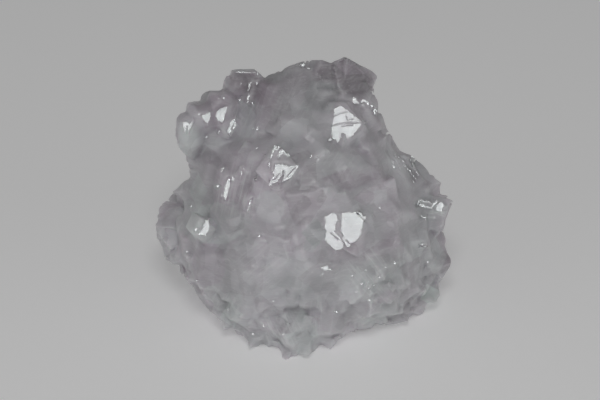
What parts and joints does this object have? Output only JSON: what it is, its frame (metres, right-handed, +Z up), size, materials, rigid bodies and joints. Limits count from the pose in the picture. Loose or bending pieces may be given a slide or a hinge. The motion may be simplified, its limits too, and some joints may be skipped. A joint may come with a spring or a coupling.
{
  "type": "mangano calcite crystal cluster",
  "caption": "Rounded cluster of intergrown pale pink rhombohedral calcite crystals, cut off flat underneath so that it stands.",
  "frame": {"origin": "on the flat base, below the middle of the cluster", "axes": "+Z up from the flat base, -Y towards the side shown in the picture, +X to its right"},
  "size_m": [0.0598, 0.0538, 0.0494],
  "materials": {
    "calcite": "milky translucent pink, glassy faces"
  },
  "bodies": {
    "root": {"calcite_cluster": "calcite"}
  },
  "joints": []
}
